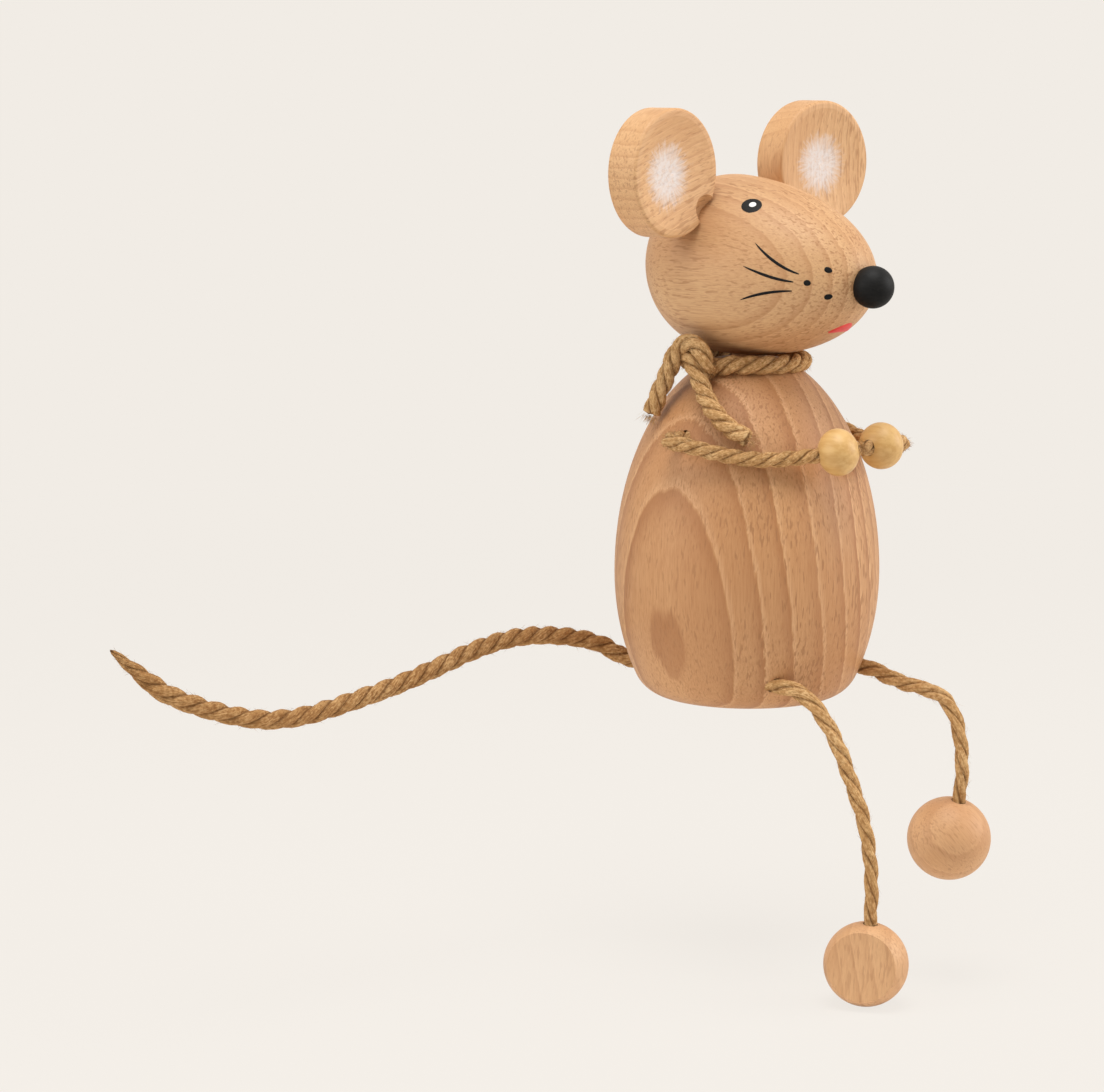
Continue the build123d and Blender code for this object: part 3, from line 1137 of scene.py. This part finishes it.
@dataclass
class Arm:
    """A cord arm with a bead hand on it."""

    side: Side
    steps: tuple[Step, ...]
    bulge: float = 0.0
    stub: float = 0.6
    diameter: float = 3.7
    root: float = 16.0
    exit: float = 5.8
    hand_radius: float = 4.9
    flex_before: Pair = (2.6, 2.2)
    flex_after: Pair = (0.6, 6.0)
    lay: float = 12.5
    fuzz_per_mm: float = 22.0
    fuzz_thick: float = 0.06
    seed: int = 31

    def build(self, jute: Material) -> None:
        """Lays the cord from the body through the hand and dresses the hand.

        Args:
            jute: The cord's material.
        """
        word, sign = self.side.word, self.side.value
        shoulder = joint_point(f"{word}_arm_open")
        hand = joint_point(f"{word}_hand_turn")
        free = stepped(shoulder, self.steps)
        end = hand + (hand - free[-1]).normalized() * (self.hand_radius + self.stub) * MM
        inside = shoulder - Vector((sign * self.root, 0, 0)) * MM
        before = shoulder - Vector((sign * self.exit, 0, 0)) * MM
        corner = shoulder + Vector((sign * self.bulge, 0, 0)) * MM
        rope = Rope(f"{word}_arm_cord", [inside, before, corner, *free, hand, end], self.diameter * MM,
                    self.seed + sign, lay=self.lay * MM, frayed_end=True, fuzz_per_mm=self.fuzz_per_mm,
                    fuzz_thick=self.fuzz_thick * MM)
        cord = rope.build(jute)
        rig.blend(cord, "trunk", f"{word}_arm",
                 shoulder + Vector((-sign * self.flex_before[0], self.flex_before[1], 0)) * MM,
                 shoulder + Vector((sign * self.flex_after[0], -self.flex_after[1], 0)) * MM)
        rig.replaces(cord, f"{word}_arm_root", f"{word}_arm")
        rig.cord(cord, before, rope.length, rope.diameter, "bare", "limp", "hanging", rope.path(),
                [frame["nodes"][f"{word}_hand"]])
        dress(f"{word}_hand", Bead(f"bead_{word}").build())


@dataclass
class Tail:
    """The long cord tail, which thins to a tip."""

    steps: tuple[Step, ...]
    tip: float = 9.4
    taper: float = 14.0
    diameter: float = 4.5
    root: float = 13.0
    exit: float = 5.7
    flex_before: float = 2.5
    flex_after: float = 6.0
    lay: float = 18.0
    sides: int = 16
    seed: int = 5

    def build(self, jute: Material) -> None:
        """Lays the cord from the body to its tip.

        Args:
            jute: The cord's material.
        """
        flex = joint_point("tail_sweep")
        free = stepped(flex, self.steps)
        end = free[-1] + (free[-1] - free[-2]).normalized() * self.tip * MM
        inside = flex - Vector((0, self.root, 0)) * MM
        before = flex - Vector((0, self.exit, 0)) * MM
        rope = Rope("tail_cord", [inside, before, flex, *free, end], self.diameter * MM, self.seed,
                    lay=self.lay * MM, taper=self.taper * MM, sides=self.sides)
        cord = rope.build(jute)
        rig.blend(cord, "trunk", "tail", flex - Vector((0, self.flex_before, 0)) * MM,
                 flex + Vector((0, self.flex_after, 0)) * MM)
        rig.replaces(cord, "tail_root", "tail")
        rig.cord(cord, before, rope.length, rope.diameter, "bare", "limp", "hanging", rope.path())


@dataclass
class Scarf:
    """A cord tied once round the neck: an end, a hood, the turn, and the other end out from under the hood.

    The ends and the knot are steps from the knot's middle, and the turn goes round the body's axis.
    """

    short_end: tuple[Step, ...]
    hood: tuple[Step, ...]
    under: tuple[Step, ...]
    long_end: tuple[Step, ...]
    diameter: float = 4.5
    turn_start: float = 198.0
    turn_end: float = 506.0
    turn_points: int = 13
    spread: float = 1.022
    lay: float = 13.5
    fuzz_per_mm: float = 22.0
    fuzz_thick: float = 0.06
    ceiling: float = 71.0
    seed: int = 3

    def turn(self) -> list[Vector]:
        """Points round the neck, from in front of the knot to behind it."""
        low, high = (Vector(corner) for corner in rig.box("scarf_loop"))
        radius = ((high.x - low.x) / 2 - self.diameter / 2 * MM) * self.spread
        height = (low.z + high.z) / 2
        points = []
        for index in range(self.turn_points):
            share = index / (self.turn_points - 1)
            angle = math.radians(self.turn_start + (self.turn_end - self.turn_start) * share)
            points.append(Vector((radius * math.cos(angle), radius * math.sin(angle), height)))
        return points

    def build(self, jute: Material) -> None:
        """Lays the scarf.

        Args:
            jute: The cord's material.
        """
        knot = middle("scarf_knot")
        route = stepped(knot, self.short_end) + stepped(knot, self.hood) + self.turn()
        route += stepped(knot, self.under) + stepped(knot, self.long_end)
        rope = Rope("scarf_cord", route, self.diameter * MM, self.seed, lay=self.lay * MM, frayed_start=True,
                    frayed_end=True, fuzz_per_mm=self.fuzz_per_mm, fuzz_thick=self.fuzz_thick * MM,
                    ceiling=self.ceiling * MM)
        cord = rope.build(jute)
        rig.ride(cord, "trunk")
        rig.replaces(cord, "scarf_loop", "scarf_knot", "scarf_short_end", "scarf_long_end")
        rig.cord(cord, route[0], rope.length, rope.diameter, "bare", "limp", "hanging", rope.path())


def stand(made: bpy.types.Object, place: Step, aim: Step) -> None:
    """Stands a camera or a lamp in the scene.

    Args:
        made: The camera or the lamp.
        place: Where it stands.
        aim: What it looks at.
    """
    made.location = place
    made.rotation_euler = (Vector(aim) - made.location).to_track_quat("-Z", "Y").to_euler()
    bpy.context.scene.collection.objects.link(made)


@dataclass(frozen=True)
class Lamp:
    """A square soft lamp, in metres and watts."""

    name: str
    place: Step
    aim: Step
    power: float
    size: float = 0.7

    def build(self) -> None:
        """Lights the lamp."""
        data = bpy.data.lights.new(self.name, "AREA")
        data.size = self.size
        data.energy = self.power
        stand(bpy.data.objects.new(self.name, data), self.place, self.aim)


@dataclass
class Studio:
    """The camera, the soft light and the plain pale surroundings."""

    camera_place: Step = (-0.63041, -0.49253, 0.157)
    camera_aim: Step = (-0.02726, 0.03918, 0.03561)
    lens: float = 108.187
    ground: Colour = (0.880, 0.838, 0.784)
    floor_reach: float = 4.0
    floor_glow: float = 0.92
    floor_fade: Pair = (0.25, 0.9)
    sky: Colour = (0.98, 0.99, 1.0)
    sky_strength: float = 0.34
    lamps: tuple[Lamp, ...] = (
        Lamp("top", (-0.20, -0.15, 1.15), (0.0, 0.0, 0.06), 12.0),
        Lamp("left", (-0.95, 0.45, 0.45), (0.0, 0.0, 0.05), 4.4),
        Lamp("right", (0.70, -0.80, 0.45), (0.0, 0.0, 0.05), 7.8),
    )

    def camera(self) -> None:
        """Sets the camera at the photograph's viewing angle."""
        data = bpy.data.cameras.new("camera")
        data.lens = self.lens
        data.sensor_fit = "HORIZONTAL"
        made = bpy.data.objects.new("camera", data)
        stand(made, self.camera_place, self.camera_aim)
        bpy.context.scene.camera = made

    def seen(self, nodes: Nodes) -> Sock:
        """1 for what the camera sees, also in reflections and through glass."""
        rays = [nodes.node("ShaderNodeLightPath", None, None, out)
                for out in ("Is Camera Ray", "Is Glossy Ray", "Is Transmission Ray")]
        return nodes.node("ShaderNodeClamp", None, {"Value": rays[0] + rays[1] + rays[2]})

    def world(self) -> None:
        """Lights the object from all round and shows the pale ground behind it."""
        world = bpy.data.worlds.new("studio")
        world.use_nodes = True
        nodes = Nodes(world.node_tree)
        shown = nodes.node("ShaderNodeBackground", None, {"Color": (*self.ground, 1.0), "Strength": 1.0})
        light = nodes.node("ShaderNodeBackground", None,
                           {"Color": (*self.sky, 1.0), "Strength": self.sky_strength})
        both = nodes.node("ShaderNodeMixShader", None, {0: self.seen(nodes), 1: light, 2: shown})
        nodes.close("ShaderNodeOutputWorld", both)
        bpy.context.scene.world = world

    def floor(self, height: float) -> None:
        """Lays the pale floor, which keeps a soft shadow.

        Args:
            height: Its height.
        """
        bm = bmesh.new()
        bmesh.ops.create_grid(bm, x_segments=1, y_segments=1, size=self.floor_reach)
        bmesh.ops.translate(bm, verts=bm.verts, vec=(0, 0, height))
        mesh = bpy.data.meshes.new("floor")
        bm.to_mesh(mesh)
        bm.free()
        shader = Shader("floor_ground")
        plain = shader.node("ShaderNodeBsdfDiffuse", None, {"Color": (*self.ground, 1.0)})
        glow = shader.node("ShaderNodeEmission", None, {"Color": (*self.ground, 1.0), "Strength": 1.0})
        away = shader.length(shader.node("ShaderNodeTexCoord", None, None, "Object"))
        far = shader.span(away, *self.floor_fade)
        share = self.seen(shader) * (self.floor_glow + (1 - self.floor_glow) * far)
        shader.close("ShaderNodeOutputMaterial",
                     shader.node("ShaderNodeMixShader", None, {0: share, 1: plain, 2: glow}))
        mesh.materials.append(shader.material)
        made = bpy.data.objects.new("floor", mesh)
        bpy.context.scene.collection.objects.link(made)
        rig.stage(made)

    def build(self, floor_height: float) -> None:
        """Sets up the whole studio.

        Args:
            floor_height: The floor's height.
        """
        bpy.context.scene.view_settings.view_transform = "Standard"
        self.camera()
        self.world()
        self.floor(floor_height)
        for lamp in self.lamps:
            lamp.build()


RIGHT_LEG_STEPS = (
    (0.5, -5.6, -1.5), (0.6, -10.7, -5.8), (0.9, -15.2, -12.6), (1.0, -19.0, -21.0), (1.2, -22.9, -30.2),
    (1.4, -24.8, -41.4), (1.5, -24.5, -53.4),
)
LEFT_LEG_STEPS = (
    (-0.8, -6.5, -1.6), (-1.5, -13.0, -2.6), (-1.4, -19.0, -2.9), (-1.3, -23.9, -4.8), (-1.5, -27.0, -9.4),
    (-1.6, -28.5, -15.6), (-1.8, -29.0, -22.2), (-1.8, -28.2, -28.6),
)
RIGHT_ARM_STEPS = ((0.3, -4.9, -0.9), (2.8, -11.6, -2.4), (6.7, -17.8, -3.7), (12.2, -23.4, -4.0))
LEFT_ARM_STEPS = (
    (-0.3, -6.2, -1.6), (-1.3, -13.0, -3.6), (-3.5, -20.0, -4.3), (-6.9, -26.6, -4.0), (-10.9, -31.8, -2.8),
    (-13.5, -34.2, -1.9),
)
TAIL_STEPS = (
    (-2.6, 5.0, -2.0), (-8.2, 9.0, 2.8), (-15.8, 11.2, 5.1), (-25.2, 12.4, 6.9), (-36.4, 13.5, 7.7),
    (-48.6, 14.7, 6.3), (-60.6, 15.9, 3.4), (-72.6, 17.4, 0.6), (-85.0, 19.4, -1.5), (-96.6, 21.4, -3.3),
    (-107.0, 22.7, -3.6), (-117.6, 24.3, -1.6), (-128.4, 26.2, 2.2), (-138.2, 27.7, 6.7), (-144.4, 29.0, 12.1),
)
SHORT_END_STEPS = ((-5.3, 7.0, -13.1), (-4.4, 5.9, -8.4), (-3.0, 3.9, -3.2))
HOOD_STEPS = ((-2.6, 2.4, 1.1), (-2.2, -0.3, 4.7), (-1.4, -4.8, 3.9), (-1.1, -6.2, -1.5), (2.8, -3.4, -2.2))
UNDER_STEPS = ((2.2, 2.2, -0.6), (-0.8, -0.6, 1.9))
LONG_END_STEPS = ((-2.1, -4.3, -2.4), (-3.5, -7.4, -7.0), (-6.1, -12.7, -11.2), (-6.3, -18.3, -15.0),
                  (-5.4, -22.7, -16.6))


def main() -> None:
    """Builds every sub-assembly in order and writes the two boxes."""
    logging.basicConfig(level=logging.INFO, format="%(name)s: %(message)s")
    cad_box = [list(corner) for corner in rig.bounds()]
    jute = Jute("jute").build()
    soft = Jute("soft_jute", pale=(0.72, 0.475, 0.232), gold=(0.57, 0.328, 0.134),
                dark=(0.34, 0.167, 0.058)).build()
    black = Paint("black_paint", (0.007, 0.0065, 0.006), (0.003, 0.003, 0.003), gloss=0.5, shine=0.16).build()
    Studio().build(cad_box[0][2])
    Trunk().build()
    Head().build(black)
    Leg(Side.RIGHT, RIGHT_LEG_STEPS, hang=(-0.1, 1.1, -9.8), fibre_turn=(0.0, 0.0, 60.0)).build(soft)
    Leg(Side.LEFT, LEFT_LEG_STEPS, hang=(0.0, 2.7, -9.5), fibre_turn=(35.0, 20.0, 120.0)).build(soft)
    Arm(Side.RIGHT, RIGHT_ARM_STEPS, bulge=1.8).build(soft)
    Arm(Side.LEFT, LEFT_ARM_STEPS, stub=1.9).build(soft)
    Tail(TAIL_STEPS).build(jute)
    Scarf(SHORT_END_STEPS, HOOD_STEPS, UNDER_STEPS, LONG_END_STEPS).build(soft)
    visual_box = [list(corner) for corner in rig.bounds()]
    with open(SIZE_FILE, "w", encoding="utf-8") as out:
        json.dump({"cad": cad_box, "visual": visual_box}, out)
    log.info("boxes: %s and %s", cad_box, visual_box)


if __name__ == "__main__":
    main()
